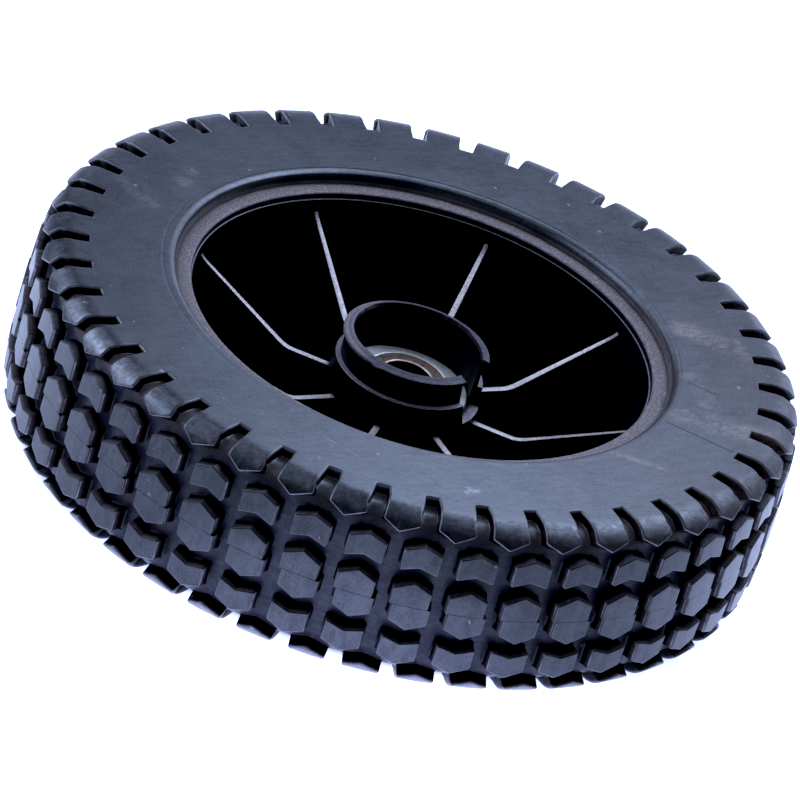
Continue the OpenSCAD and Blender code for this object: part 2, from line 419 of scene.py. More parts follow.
    pts, ids, ed = list(pts_floor), list(ids_floor), list(edges_floor)
    nh = len(out_hex)
    ns = len(out_sh)
    sh0 = len(pts_floor) - ns
    side = [0.0, 2.8, 5.6, 8.4, 11.2, 14.0, 16.8]
    rs = chain(pts, ids, [(h, s) for s in side], 1.0)
    ls = chain(pts, ids, [(-h, s) for s in side], 1.0)
    ed += list(zip(rs[:-1], rs[1:])) + [(rs[-1], sh0 + ns - 1)]
    ed += list(zip(ls[:-1], ls[1:])) + [(ls[-1], sh0)]
    wall_x = 4.95 + WALL[-1][0]
    if shift > 0:
        on_r, on_l = wall_x + shift, -h + shift
    else:
        on_r, on_l = h + shift, -wall_x + shift
    mr = chain(pts, ids, [(on_r, 0.0)], 1.0)
    ml = chain(pts, ids, [(on_l, 0.0)], 1.0)
    ed += [(0, mr[0]), (mr[0], rs[0]), (nh - 1, ml[0]), (ml[0], ls[0])]
    grid = [(x, y) for x in (-6.4, -3.2, 0, 3.2, 6.4) for y in (3, 6, 8.5, 19)]
    grid += [(x, y) for x in (-1.2, 0.2, 1.4) for y in (17.9, 20.4, 22, 23.4, 24.8, 26.2, 27.6, 29, 31)]
    fill(pts, ids, ed, in_floor, 1.0, grid)
    ends = ([r[-1] for r in r_hex], [r[0] for r in r_hex])   # wall edges on the centre line, left and right
    return verts, faces, ends


def make_tyre():
    verts, faces = [], []

    def push(v, f):
        base = len(verts)
        verts.extend(v)
        faces.extend([tuple(base + i for i in g) for g in f])

    def place(ang, r, z):
        a = math.radians(ang)
        return (r * math.cos(a), r * math.sin(a), z)

    turn = MOULD_SHIFT * PITCH / PW
    cells = {1: half_cell(MOULD_SHIFT), -1: half_cell(-MOULD_SHIFT)}
    for k in range(PITCHES):
        for side in (1, -1):
            cell, tris, _ = cells[side]
            off = k * PITCH + (turn if side < 0 else 0.0)
            v = [place(a + off, r, z * side) for a, r, z in cell]
            push(v, tris if side > 0 else [g[::-1] for g in tris])
        # the small steps on the centre line, where the two halves don't line up
        for end in (0, 1):
            up = [cells[1][0][i] for i in cells[1][2][end]]
            lo = [cells[-1][0][i] for i in cells[-1][2][end]]
            v = [place(a + k * PITCH, r, z) for a, r, z in up]
            v += [place(a + k * PITCH + turn, r, -z) for a, r, z in lo]
            m = len(up)
            push(v, [(i, i + 1, m + i + 1, m + i) for i in range(m - 1)])

    # sidewalls, bead lips and the seat around the rim
    cols = PITCHES * 8
    r0 = ARC_R - (TOP_S - S_ARC1)
    lip = [(r0, HALF_W), (80.0, HALF_W), (74.0, HALF_W), (69.2, HALF_W), (68.75, HALF_W),
           (68.6, HALF_W - 0.05), (68.45, HALF_W), (67.3, HALF_W - 0.01),
           (66.98, HALF_W - 0.01), (66.92, HALF_W - 0.10)]
    lip += [(66.82 - 2.2 * math.sin(math.radians(t)), HALF_W - 0.10 - 2.2 * (1 - math.cos(math.radians(t))))
            for t in (0, 8, 16, 24, 33, 42, 50)]
    lip += [(64.93, HALF_W - 1.28), (64.76, HALF_W - 1.58), (64.62, HALF_W - 1.95)]
    lip += [(64.42, HALF_W - 2.7), (64.3, FLANGE_Z + 0.12), (64.35, FLANGE_Z + 0.02),
           (66.1, FLANGE_Z + 0.02), (66.1, FLANGE_Z - FLANGE_T - 0.02),
           (62.1, FLANGE_Z - FLANGE_T - 0.02)]
    m = len(lip)
    for side in (1, -1):
        start = -PITCH / 2 + (turn if side < 0 else 0.0)
        v = [place(start + i * 360.0 / cols, r, z * side) for i in range(cols) for r, z in lip]
        f = []
        for i in range(cols):
            i2 = (i + 1) % cols
            for j in range(m - 1):
                q = (i * m + j, i * m + j + 1, i2 * m + j + 1, i2 * m + j)
                f.append(q if side > 0 else q[::-1])
        push(v, f)
    # bore between the two flanges
    z1 = FLANGE_Z - FLANGE_T - 0.02
    v = []
    for i in range(cols):
        a0 = -PITCH / 2 + i * 360.0 / cols
        v += [place(a0, 62.1, z1), place(a0 + turn, 62.1, -z1)]
    push(v, [(2 * i, 2 * i + 1, 2 * ((i + 1) % cols) + 1, 2 * ((i + 1) % cols))
             for i in range(cols)])
    return verts, faces


def roughen(ob, inward, scale, seed, keep=lambda co: 1.0):
    """Small uneven displacement, always into the material, from smooth noise."""
    me = ob.data
    normals = [v.normal.copy() for v in me.vertices]
    for v, n in zip(me.vertices, normals):
        w = keep(v.co)
        if w <= 0:
            continue
        q = noise.noise(v.co * scale + Vector((seed, seed * 0.7, seed * 1.3)))
        v.co -= n * (inward * MM * w * (0.5 + 0.5 * q))
    me.update()


tv, tf = make_tyre()
tyre = new_object("tyre_moulding", tv, tf, smooth_angle=40.0)


def tyre_keep(co):
    r = math.hypot(co.x, co.y)
    return 1.0 if r > 0.0655 else 0.0


roughen(tyre, 0.07, 260.0, 3.1, tyre_keep)


def tidy(ob):
    m = ob.modifiers.new("face_weight", "WEIGHTED_NORMAL")
    m.mode = "FACE_AREA"
    m.weight = 60
    m.keep_sharp = True


tidy(tyre)

tyre_tris = sum(len(p.vertices) - 2 for p in tyre.data.polygons)
print("tyre triangles", tyre_tris)


# ---------------------------------------------------------------- rim
GAP_A, GAP_B = 106.05, 147.55      # the opening in the snap collar, degrees
GAP_Z = 2.4
tube_at_gap = STEP_R + (7.75 - GAP_Z) * 0.082
rim_points = [
    (SEAT_R, GAP_Z, 0), (SEAT_R, 4.4, 0), (16.6, 4.8, 0), (16.6, 16.12, 0.16, 3),
    (SNAP_R, 15.38, 0.22, 4), (SNAP_R, 14.8, 0.15, 2), (COLLAR_R, 13.25, 0.3, 2),
    (COLLAR_R, STEP_Z, 0.12, 2), (STEP_R, STEP_Z, 0.28, 4), (tube_at_gap, GAP_Z, 0),
    (20.62, WEB_Z, 1.0, 4), (57.70, WEB_Z, 1.1, 4), (59.70, LEDGE_Z, 0.14, 3),
    (MOUTH_R, LEDGE_Z, 0.12, 2), (MOUTH_R, FLANGE_Z, 0.9, 6), (FLANGE_R, FLANGE_Z, 0.2, 2),
    (FLANGE_R, FLANGE_Z - FLANGE_T, 0.2, 2), (BARREL_R, FLANGE_Z - FLANGE_T, 0.3, 2),
    (BARREL_R, -FLANGE_Z + FLANGE_T, 0.3, 2), (FLANGE_R, -FLANGE_Z + FLANGE_T, 0.2, 2),
    (FLANGE_R, -FLANGE_Z, 0.2, 2), (MOUTH_R, -FLANGE_Z, 0.9, 5), (57.15, WEB_BACK_Z, 1.1, 4),
    (20.06, WEB_BACK_Z, 1.0, 4), (19.31, -22.4, 0.3, 3), (SEAT_R, -22.4, 0.3, 3),
    (SEAT_R, SEAT_BACK_Z, 0), (14.0, SEAT_BACK_Z, 0.15, 2), (14.0, SEAT_FRONT_Z, 0.15, 2),
    (SEAT_R, SEAT_FRONT_Z, 0)]


def make_rim():
    full = rounded(rim_points)
    ib = min(range(len(full)), key=lambda i: abs(full[i][0] - tube_at_gap) + abs(full[i][1] - GAP_Z))
    collar = full[:ib + 1]
    rest = full[ib + 1:]
    floor_r = [SEAT_R + 0.03, SEAT_R + 0.25, 17.6, 18.6, tube_at_gap - 0.35, tube_at_gap - 0.12]
    floor_z = [GAP_Z - 0.12, GAP_Z, GAP_Z + 0.02, GAP_Z + 0.02, GAP_Z, GAP_Z - 0.08]
    a_pt = (SEAT_R, GAP_Z - 0.3)
    b_pt = (tube_at_gap + 0.02, GAP_Z - 0.3)
    verts, faces = [], []

    def ring(angle, outline):
        base = len(verts)
        for r, z in outline:
            a = angle
            # the near end of the collar leans, so that the opening is widest at the top
            d = (angle - GAP_A) % 360
            reach = 16 if d < 180 else 9
            d = min(d, 360 - d)
            if d < reach and z > GAP_Z - 0.05:
                a += (1 - d / reach) * (0.58 * (16.15 - z) + 1.0)
            a = math.radians(a)
            verts.append((r * math.cos(a), r * math.sin(a), z))
        return base

    def pulled(amount):
        """The collar's outline with its edges drawn in, for the rounded ends at the opening."""
        out = []
        for r, z in collar:
            w = min(1.0, max(0.0, (z - GAP_Z) / 0.5))
            nr = r + (1 if r < 17.7 else -1) * min(amount * w, abs(r - 17.7))
            out.append((nr, z - (amount * w if z > 14.0 else 0)))
        return out

    # full part of the circle
    span = 360.0 - (GAP_B - GAP_A)
    n_full = 246
    marks = [(GAP_B, 0.22), (GAP_B + 0.25, 0.09), (GAP_B + 0.7, 0.02)]
    marks += [(GAP_B + 1.3 + (span - 2.6) * i / n_full, 0.0) for i in range(n_full + 1)]
    marks += [(GAP_A + 360 - 0.7, 0.02), (GAP_A + 360 - 0.25, 0.09), (GAP_A + 360, 0.22)]
    m = len(full)
    rings = [ring(a, (pulled(p) if p else collar) + rest) for a, p in marks]
    for p, q in zip(rings[:-1], rings[1:]):
        for j in range(m):
            j2 = (j + 1) % m
            faces.append((p + j, q + j, q + j2, p + j2))
    # part below the opening
    low = [collar[0]] + list(zip(floor_r, floor_z)) + [collar[-1]] + rest
    k = len(low)
    n_gap = 28
    angles = [GAP_A + (GAP_B - GAP_A) * i / n_gap for i in range(n_gap + 1)]
    lows = [ring(a, low) for a in angles]
    for p, q in zip(lows[:-1], lows[1:]):
        for j in range(k):
            j2 = (j + 1) % k
            faces.append((p + j, q + j, q + j2, p + j2))
    # end faces of the collar at the opening
    nf = len(floor_r)
    nc = len(collar)
    for r0, l0, flip in ((rings[0], lows[-1], False), (rings[-1], lows[0], True)):
        loop = [r0 + j for j in range(nc)] + [l0 + 1 + j for j in reversed(range(nf))]
        faces.append(tuple(loop[::-1] if flip else loop))
    return verts, faces


def make_rib(angle):
    """One upright rib from the hub tube to the barrel, level near the hub and then rising."""
    xs = [18.4, 19.2, 19.8, 20.3, 21.0, 22.2, 26.0, 30.0, 31.0, 32.0, 33.0, 34.0, 40.0, 47.0,
          53.0, 56.5, 58.0, 58.6, 59.1, 59.6, 60.6]
    verts, faces = [], []
    slope = 16.0 / (60.55 - 32.0)
    ca, sa = math.cos(math.radians(angle)), math.sin(math.radians(angle))
    for x in xs:
        if x <= 30:
            top = 0.0
        elif x < 34:
            top = slope * (x - 30) ** 2 / 8.0
        else:
            top = slope * (x - 32.0)
        hub = max(0.0, 1 - (x - 19.6) / 1.7) ** 2 if x > 19.6 else 1.0
        end = max(0.0, 1 - (59.6 - x) / 1.6) ** 2 if x < 59.6 else 1.0
        thin = max(0.0, (x - 34.0) / 25.0)
        wt = 0.92 + 0.18 * hub - 0.30 * thin
        wb = 1.2 + 0.5 * hub + 0.2 * end
        lift = 0.12 * hub + 0.5 * end
        r = 0.32
        sect = [(-wb, -9.2), (-wt, top - r + lift), (-wt + 0.1, top - 0.1 + lift),
                (-wt + r, top + lift), (0, top + 0.03 + lift), (wt - r, top + lift),
                (wt - 0.1, top - 0.1 + lift), (wt, top - r + lift), (wb, -9.2)]
        verts += [(x * ca - y * sa, x * sa + y * ca, z) for y, z in sect]
    m = 9
    for i in range(len(xs) - 1):
        for j in range(m):
            j2 = (j + 1) % m
            faces.append((i * m + j, (i + 1) * m + j, (i + 1) * m + j2, i * m + j2))
    faces.append(tuple(range(m))[::-1])
    e = (len(xs) - 1) * m
    faces.append(tuple(e + j for j in range(m)))
    return verts, faces


def apply_modifiers(ob):
    dg = bpy.context.evaluated_depsgraph_get()
    me = bpy.data.meshes.new_from_object(ob.evaluated_get(dg))
    ob.modifiers.clear()
    old = ob.data
    ob.data = me
    bpy.data.meshes.remove(old)


rim = new_object("wheel_rim", *make_rim(), smooth_angle=33.0)


def collar_wear(v):
    """Small unevenness of the snap collar: a nib, ragged opening ends, crumbs on its outer edge."""
    x, y, z = (c / MM for c in v.co)
    r = math.hypot(x, y)
    if z < 12.5 or r > 21 or r < 16:
        return
    th = math.degrees(math.atan2(y, x)) % 360
    out = Vector((x / r, y / r, 0))
    if r > 18.2 and z > 14.2:
        # nib on the outer edge near the left front
        d = (th - 31.5) / 5.0
        d = max(0.0, 1 - d * d)
        v.co += out * (0.5 * d * MM)
        # crumbs towards the far end
        if 150 < th < 200:
            q = noise.noise(Vector((th * 0.55, z * 0.8, 3.0)))
            v.co += out * (0.16 * max(0.0, q) * MM)
        if 340 < th or th < 105:
            q = noise.noise(Vector((th * 0.23, 5.0, 3.0)))
            v.co += out * (0.07 * q * MM)
    if z > 14.6 and 147 < th < 192 and r < 18.6:
        # worn towards the far end: the top narrows from inside
        w = (1 - (th - 147) / 45) ** 0.7
        q = 0.75 + 0.5 * noise.noise(Vector((th * 0.6, 1.0, 8.0)))
        v.co += out * (0.75 * w * q * (19.1 - r) / 2.5 * MM)
        v.co.z -= 0.25 * w * MM * (19.1 - r) / 2.5
    if z > 14.6 and 182 < th < 305 and r < 17.2:
        w = min(1.0, (th - 182) / 12, (305 - th) / 22)
        v.co += out * ((0.75 + 0.2 * noise.noise(Vector((th * 0.2, 2.0, 5.0)))) * w * MM)
        v.co.z -= 0.15 * w * MM
    for end, reach, amp in ((GAP_B, 5.0, 0.33), (GAP_A, 2.2, 0.3)):
        d = abs(th - end)
        if d < reach:
            q = noise.noise_vector(v.co * 900.0)
            v.co += q * (amp * (1 - d / reach) * MM)


for vert in rim.data.vertices:
    collar_wear(vert)

rib_v, rib_f = [], []
for i in range(8):
    v, f = make_rib(1.2 + 45 * i)
    base = len(rib_v)
    rib_v += v
    rib_f += [tuple(base + a for a in g) for g in f]
ribs = new_object("ribs_tool", rib_v, rib_f)
mod = rim.modifiers.new("ribs", "BOOLEAN")
mod.operation = "UNION"
mod.solver = "EXACT"
mod.object = ribs
apply_modifiers(rim)
bpy.data.objects.remove(ribs)
rim.data.set_sharp_from_angle(angle=math.radians(33))
tidy(rim)

# ---------------------------------------------------------------- bearings
BALL_R_PATH, GROOVE_R, BALL_Z = 11.9, 2.53, -1.9


def arc_points(r_side, bulge_out, n=9):
    """The ball groove where it cuts a bore or shaft face of radius r_side, from top to bottom."""
    z1 = math.sqrt(GROOVE_R ** 2 - (r_side - BALL_R_PATH) ** 2)
    out = []
    for i in range(n + 1):
        z = z1 - 2 * z1 * i / n
        dr = math.sqrt(max(0.0, GROOVE_R ** 2 - z * z))
        out.append((BALL_R_PATH + (dr if bulge_out else -dr), z))
    return out


def bearing_pieces(front):
    shell = rounded([(13.3, -5.6, 0.12, 2), (16.4, -5.6, 0.35, 3), (16.4, 5.35, 0.7, 5),
                     (10.62, 7.08, 0.28, 4), (10.25, 6.95, 0.12, 2), (10.25, 6.12, 0.2, 3),
                     (12.95, 5.25, 0.3, 3), (13.3, 4.7, 0.1, 2)]
                    + [(r, z, 0) for r, z in arc_points(13.3, True)])
    inner = rounded([(6.35, -6.3, 0.4, 3), (10.4, -6.3, 0.2, 2)]
                    + [(r, z, 0) for r, z in arc_points(10.4, False)[::-1]]
                    + [(10.4, 5.1, 0.2, 2), (9.95, 5.1, 0.12, 2), (9.95, 7.55, 0.28, 4),
                       (6.35, 7.55, 0.42, 4)])
    out = []
    for name, prof, steps in (("shell", shell, 160), ("cone", inner, 128)):
        pr = [(r, z + BALL_Z) for r, z in prof]
        if not front:
            pr = [(r, MIRROR_Z - z) for r, z in pr]
        side = "front" if front else "back"
        ob = new_object(f"{side}_bearing_{name}", *revolve(pr, steps), smooth_angle=32.0)
        tidy(ob)
        out.append(ob)
    return out


front_shell, front_cone = bearing_pieces(True)
back_shell, back_cone = bearing_pieces(False)


# ---------------------------------------------------------------- materials
def lin(c):
    return tuple((v / 255 / 12.92) if v / 255 <= 0.04045 else ((v / 255 + 0.055) / 1.055) ** 2.4
                 for v in c)


class Look:
    """A node material built in one go; every method gives back an output socket."""

    def __init__(self, name):
        self.mat = bpy.data.materials.new(name)
        self.mat.use_nodes = True
        self.nt = self.mat.node_tree
        self.nt.nodes.clear()
        self.out = self.nt.nodes.new("ShaderNodeOutputMaterial")
        self.bsdf = self.nt.nodes.new("ShaderNodeBsdfPrincipled")
        self.nt.links.new(self.bsdf.outputs[0], self.out.inputs[0])
        tc = self.nt.nodes.new("ShaderNodeTexCoord")
        self.co = tc.outputs["Object"]
        sep = self.nt.nodes.new("ShaderNodeSeparateXYZ")
        self.nt.links.new(self.co, sep.inputs[0])
        self.x, self.y, self.z = sep.outputs
        sn = self.nt.nodes.new("ShaderNodeSeparateXYZ")
        self.nt.links.new(tc.outputs["Normal"], sn.inputs[0])
        self.nx, self.ny, self.nz = sn.outputs

    def put(self, socket, value):
        if isinstance(value, bpy.types.NodeSocket):
            self.nt.links.new(value, socket)
        elif isinstance(value, (tuple, list)) and len(value) == 3 and len(socket.default_value) == 4:
            socket.default_value = (*value, 1.0)
        else:
            socket.default_value = value

    def math(self, op, a, b=0.0, c=0.0, clamp=False):
        n = self.nt.nodes.new("ShaderNodeMath")
        n.operation = op
        n.use_clamp = clamp
        for s, v in zip(n.inputs, (a, b, c)):
            self.put(s, v)
        return n.outputs[0]

    def noise(self, scale, detail=3.0, rough=0.55, distort=0.0, co=None):
        n = self.nt.nodes.new("ShaderNodeTexNoise")
        self.put(n.inputs["Vector"], co or self.co)
        n.inputs["Scale"].default_value = scale
        n.inputs["Detail"].default_value = detail
        n.inputs["Roughness"].default_value = rough
        n.inputs["Distortion"].default_value = distort
        return n.outputs[0]

    def stretch(self, sx, sy, sz, rot=0.0):
        n = self.nt.nodes.new("ShaderNodeMapping")
        self.put(n.inputs["Vector"], self.co)
        n.inputs["Scale"].default_value = (sx, sy, sz)
        n.inputs["Rotation"].default_value = (0, 0, rot)
        return n.outputs[0]

    def ramp(self, value, lo, hi, out_lo=0.0, out_hi=1.0):
        n = self.nt.nodes.new("ShaderNodeMapRange")
        n.interpolation_type = "SMOOTHSTEP"
        n.clamp = True
        for i, v in enumerate((value, lo, hi, out_lo, out_hi)):
            self.put(n.inputs[i], v)
        return n.outputs[0]

    def mix(self, fac, a, b, mode="MIX"):
        n = self.nt.nodes.new("ShaderNodeMix")
        n.data_type = "RGBA"
        n.blend_type = mode
        n.clamp_factor = True
        self.put(n.inputs[0], fac)
        self.put(n.inputs[6], a)
        self.put(n.inputs[7], b)
        return n.outputs[2]

    def bump(self, height, strength, dist, normal=None):
        n = self.nt.nodes.new("ShaderNodeBump")
        n.inputs["Strength"].default_value = strength
        n.inputs["Distance"].default_value = dist
        self.put(n.inputs["Height"], height)
        if normal is not None:
            self.put(n.inputs["Normal"], normal)
        return n.outputs[0]

    def radius(self):
        return self.math("SQRT", self.math("ADD", self.math("MULTIPLY", self.x, self.x),
                                           self.math("MULTIPLY", self.y, self.y)))

    def stroke(self, a, b, wide, soft):
        """1 near the line from a to b (x, y in mm), measured in plan, fading over soft mm."""
        ax, ay, bx, by = (c * MM for c in (*a, *b))
        dx, dy = bx - ax, by - ay
        ll = dx * dx + dy * dy
        px = self.math("SUBTRACT", self.x, ax)
        py = self.math("SUBTRACT", self.y, ay)
        t = self.math("ADD", self.math("MULTIPLY", px, dx / ll), self.math("MULTIPLY", py, dy / ll),
                      clamp=True)
        ex = self.math("SUBTRACT", px, self.math("MULTIPLY", t, dx))
        ey = self.math("SUBTRACT", py, self.math("MULTIPLY", t, dy))
        d = self.math("SQRT", self.math("ADD", self.math("MULTIPLY", ex, ex),
                                        self.math("MULTIPLY", ey, ey)))
        return self.ramp(d, wide * MM, (wide + soft) * MM, 1.0, 0.0)

    def add(self, *values):
        s = values[0]
        for v in values[1:]:
            s = self.math("MAXIMUM", s, v)
        return s

    def finish(self, color, rough, normal=None, metallic=0.0, spec=0.5, tint=None):
        self.put(self.bsdf.inputs["Base Color"], color)
        self.put(self.bsdf.inputs["Roughness"], rough)
        self.bsdf.inputs["Metallic"].default_value = metallic
        self.put(self.bsdf.inputs["Specular IOR Level"], spec)
        if tint:
            self.bsdf.inputs["Specular Tint"].default_value = (*tint, 1.0)
        if normal is not None:
            self.put(self.bsdf.inputs["Normal"], normal)
        return self.mat


def rubber_look():
    k = Look("blue_grey_rubber")
    r = k.radius()
    dr = k.math("MAXIMUM", k.math("SUBTRACT", r, ARC_R * MM), 0.0)
    az = k.math("ABSOLUTE", k.z)
    dz = k.math("MAXIMUM", k.math("SUBTRACT", az, ARC_Z * MM), 0.0)
    hyp = k.math("MAXIMUM", k.math("SQRT", k.math("ADD", k.math("MULTIPLY", dr, dr),
                                                  k.math("MULTIPLY", dz, dz))), 1e-5)
    depth = k.math("SUBTRACT", SHOULDER_R * MM, hyp)      # how deep below the block tops
    # how far the face turns away from the block tops: 0 on tops and floors, 1 on block walls
    nr = k.math("DIVIDE", k.math("ADD", k.math("MULTIPLY", k.nx, k.x), k.math("MULTIPLY", k.ny, k.y)), r)
    nzs = k.math("MULTIPLY", k.nz, k.math("SIGN", k.z))
    along = k.math("DIVIDE", k.math("ADD", k.math("MULTIPLY", nr, dr), k.math("MULTIPLY", nzs, dz)), hyp)
    tread_side = k.ramp(r, 0.0695, 0.0705)
    wall = k.math("MULTIPLY", k.ramp(along, 0.45, 0.85, 1.0, 0.0), tread_side)
    n_big = k.noise(14.0, 2.0, 0.5)
    n_mid = k.noise(95.0, 4.0, 0.6, 0.4)
    n_fine = k.noise(900.0, 3.0, 0.6)
    n_grain = k.noise(3600.0, 2.0, 0.6)
    color = k.mix(n_big, (0.0022, 0.0025, 0.0034), (0.0045, 0.0050, 0.0062))
    color = k.mix(k.ramp(n_grain, 0.50, 0.8, 0.0, 0.10), color, (0.045, 0.045, 0.050))
    deep = k.math("MULTIPLY", k.ramp(depth, 0.0006, 0.0034), tread_side)
    # brown dust: on the upper part of the block walls, and thinly over the slot floors. The band is partly painted
    # light: it sits where the light from above falls on the top of each wall.
    wall_dust_and_light = k.math("MULTIPLY", k.math("MULTIPLY", wall, k.ramp(depth, 0.0004, 0.0021, 1.0, 0.0)),
                      k.ramp(n_fine, 0.25, 0.7, 0.35, 1.0))
    color = k.mix(k.math("MULTIPLY", wall_dust_and_light, 0.75), color, (0.060, 0.046, 0.040))
    # groove floors are a little more violet than the blocks
    low = k.math("MULTIPLY", k.ramp(depth, 0.0030, 0.0038), k.math("SUBTRACT", 1.0, wall))
    color = k.mix(k.math("MULTIPLY", low, k.ramp(n_mid, 0.3, 0.7, 0.5, 1.0)), color, (0.0130, 0.0105, 0.0200))
    slot = k.math("MULTIPLY", k.math("MULTIPLY", k.ramp(depth, 0.0022, 0.0027), k.ramp(az, 0.0170, 0.0205)),
                  k.math("SUBTRACT", 1.0, wall))
    slot = k.math("MULTIPLY", slot, k.ramp(n_mid, 0.3, 0.65, 0.25, 1.0))
    color = k.mix(k.math("MULTIPLY", slot, 0.8), color, (0.062, 0.050, 0.046))
    # painted shade: the deep lower part of the block walls, and the slot walls near the sidewall, are made near
    # black, and their reflection is cut down further on as well
    black = k.math("MULTIPLY", wall, k.ramp(depth, 0.0010, 0.0026))
    black = k.add(black, k.math("MULTIPLY", k.math("MULTIPLY", wall, k.ramp(depth, 0.0003, 0.0011)),
                                k.ramp(az, 0.0165, 0.0190)))
    color = k.mix(black, color, (0.0015, 0.0013, 0.0014))
    # dusty smears and scratches on the upper sidewall
    up = k.ramp(k.z, 0.0160, 0.0205)
    cloud = k.math("MULTIPLY", k.ramp(k.noise(62.0, 5.0, 0.65, 1.2), 0.36, 0.58),
                   k.ramp(k.noise(1.0, 6.0, 0.8, 1.5, k.stretch(190, 560, 300, 0.9)), 0.37, 0.58, 0.18, 1.0))
    cloud = k.math("MULTIPLY", cloud, k.ramp(k.noise(2300.0, 2.0, 0.7), 0.35, 0.62, 0.35, 1.0))
    smear = k.add(k.stroke((-70.6, 10.8), (-84.0, 21.5), 1.4, 5.0),
                  k.stroke((-61.8, 32.5), (-60.5, 43.0), 1.0, 3.6),
                  k.stroke((-56.5, 51.5), (-70.5, 60.0), 1.8, 5.0),
                  k.stroke((-50.0, 48.0), (-58.0, 50.5), 1.0, 4.0),
                  k.stroke((56.5, -62.2), (55.0, -53.0), 1.0, 4.0),
                  k.stroke((38.0, -66.0), (42.0, -61.0), 0.8, 2.8))
    smear = k.math("MULTIPLY", k.math("MULTIPLY", smear, up),
                   k.math("MULTIPLY", cloud, k.ramp(n_fine, 0.25, 0.7, 0.45, 1.0)))
    side = k.math("SUBTRACT", k.math("MULTIPLY", k.y, 0.5667), k.math("MULTIPLY", k.x, 0.8240))
    color = k.mix(k.math("MULTIPLY", smear, k.ramp(side, -0.02, 0.02, 0.5, 1.0)), color, (0.185, 0.132, 0.108))
    white = k.math("MULTIPLY", k.stroke((34.0, 80.0), (23.5, 76.5), 0.6, 2.2),
                   k.ramp(k.noise(210.0, 4.0, 0.7), 0.48, 0.72))
    color = k.mix(k.math("MULTIPLY", k.math("MULTIPLY", white, up), 0.55), color,
                  (0.25, 0.25, 0.25))
    tan = k.add(k.stroke((-22.6, 63.1), (-30.0, 68.5), 0.1, 1.9),
                k.stroke((-29.0, 67.0), (-33.7, 71.5), 0.1, 1.5),
                k.stroke((54.6, 52.3), (51.8, 55.9), 0.02, 0.42),
                k.stroke((50.4, 58.2), (49.0, 61.2), 0.02, 0.34),
                k.stroke((0.4, 78.3), (0.1, 78.5), 0.1, 0.4))
    tan = k.math("MULTIPLY", k.math("MULTIPLY", tan, up), k.ramp(k.noise(420.0, 4.0, 0.75), 0.36, 0.66))
    color = k.mix(k.math("MULTIPLY", tan, 0.50), color, (0.19, 0.135, 0.085))
    off = k.math("ABSOLUTE", k.math("SUBTRACT", k.math("MULTIPLY", k.y, 0.5667), k.math("MULTIPLY", k.x, 0.8240)))
    foot = k.math("MULTIPLY", k.ramp(r, 0.0647, 0.0650, 1.0, 0.0), k.ramp(k.z, 0.0205, 0.0211))
    foot = k.math("MULTIPLY", k.math("MULTIPLY", foot, k.ramp(off, 0.050, 0.063)),
                  k.ramp(k.noise(520.0, 4.0, 0.7), 0.3, 0.65, 0.3, 1.0))
    color = k.mix(k.math("MULTIPLY", foot, 0.85), color, (0.085, 0.072, 0.068))
    # a thin film of dust over the right part, and dirtier, shinier shoulders
    film = k.math("MULTIPLY", k.math("MULTIPLY", up, k.ramp(side, 0.030, 0.078)),
                  k.ramp(k.noise(34.0, 5.0, 0.7, 0.8), 0.32, 0.62, 0.15, 1.0))
    film = k.math("MULTIPLY", film, k.ramp(n_fine, 0.25, 0.7, 0.5, 1.0))
    color = k.mix(k.math("MULTIPLY", film, 0.27), color, (0.090, 0.066, 0.053))
    bend = k.math("MULTIPLY", k.ramp(az, 0.0180, 0.0200), k.ramp(r, 0.0912, 0.0935))
    grub = k.math("MULTIPLY", k.math("MULTIPLY", bend, k.ramp(k.noise(260.0, 5.0, 0.75, 0.6), 0.50, 0.70)),
                  k.ramp(k.z, 0.0, 0.001))
    color = k.mix(k.math("MULTIPLY", grub, 0.42), color, (0.075, 0.056, 0.047))
    # scuffed block edges, partly wear and partly a painted highlight: strongest on the edges that do not face up,
    # where the light from the floor catches them; and the mould's parting line across the middle row
    edge = k.math("MULTIPLY", k.ramp(depth, 0.00006, 0.00016), k.ramp(depth, 0.00034, 0.00060, 1.0, 0.0))
    edge = k.math("MULTIPLY", edge, tread_side)
    edge = k.math("MULTIPLY", edge, k.ramp(k.noise(330.0, 4.0, 0.7), 0.34, 0.62, 0.25, 1.0))
    edge = k.math("MULTIPLY", edge, k.ramp(k.nz, 0.25, 0.6, 0.95, 0.10))
    color = k.mix(k.math("MULTIPLY", edge, k.ramp(az, 0.0165, 0.0190, 1.0, 0.6)), color, (0.30, 0.29, 0.32))
    part = k.math("MULTIPLY", k.ramp(az, 0.00004, 0.00013, 1.0, 0.0), k.ramp(r, 0.0990, 0.0994))
    part = k.math("MULTIPLY", part, k.ramp(k.noise(150.0, 3.0, 0.6), 0.36, 0.52, 0.35, 1.0))
    seam = k.math("MULTIPLY", k.add(k.stroke((-44.36, 50.49), (-56.92, 64.76), 0.05, 0.28),
                                    k.stroke((-59.6, 33.8), (-65.1, 39.9), 0.03, 0.22)),
                  k.ramp(k.noise(240.0, 3.0, 0.6), 0.30, 0.5, 0.4, 1.0))
    seam = k.math("MULTIPLY", seam, up)
    dark = k.add(part, seam)
    color = k.mix(k.math("MULTIPLY", dark, 0.9), color, (0.001, 0.001, 0.001))
    flecks = k.ramp(k.noise(420.0, 1.0, 0.4), 0.775, 0.81)
    color = k.mix(k.math("MULTIPLY", flecks, 0.5), color, (0.22, 0.20, 0.18))
    rough = k.math("ADD", k.ramp(n_mid, 0.2, 0.85, 0.29, 0.36), k.ramp(n_fine, 0.3, 0.7, -0.03, 0.04))
    rough = k.math("ADD", rough, k.math("MULTIPLY", smear, 0.2), clamp=True)
    spec = k.math("MULTIPLY", k.math("SUBTRACT", 1.0, k.math("MULTIPLY", deep, k.ramp(k.noise(1.0, 4.0, 0.7, 0.3, k.stretch(260, 260, 900, 0.3)), 0.3, 0.7, 0.72, 0.50))),
                  k.math("SUBTRACT", 1.0, k.math("MULTIPLY", black, 0.85)))
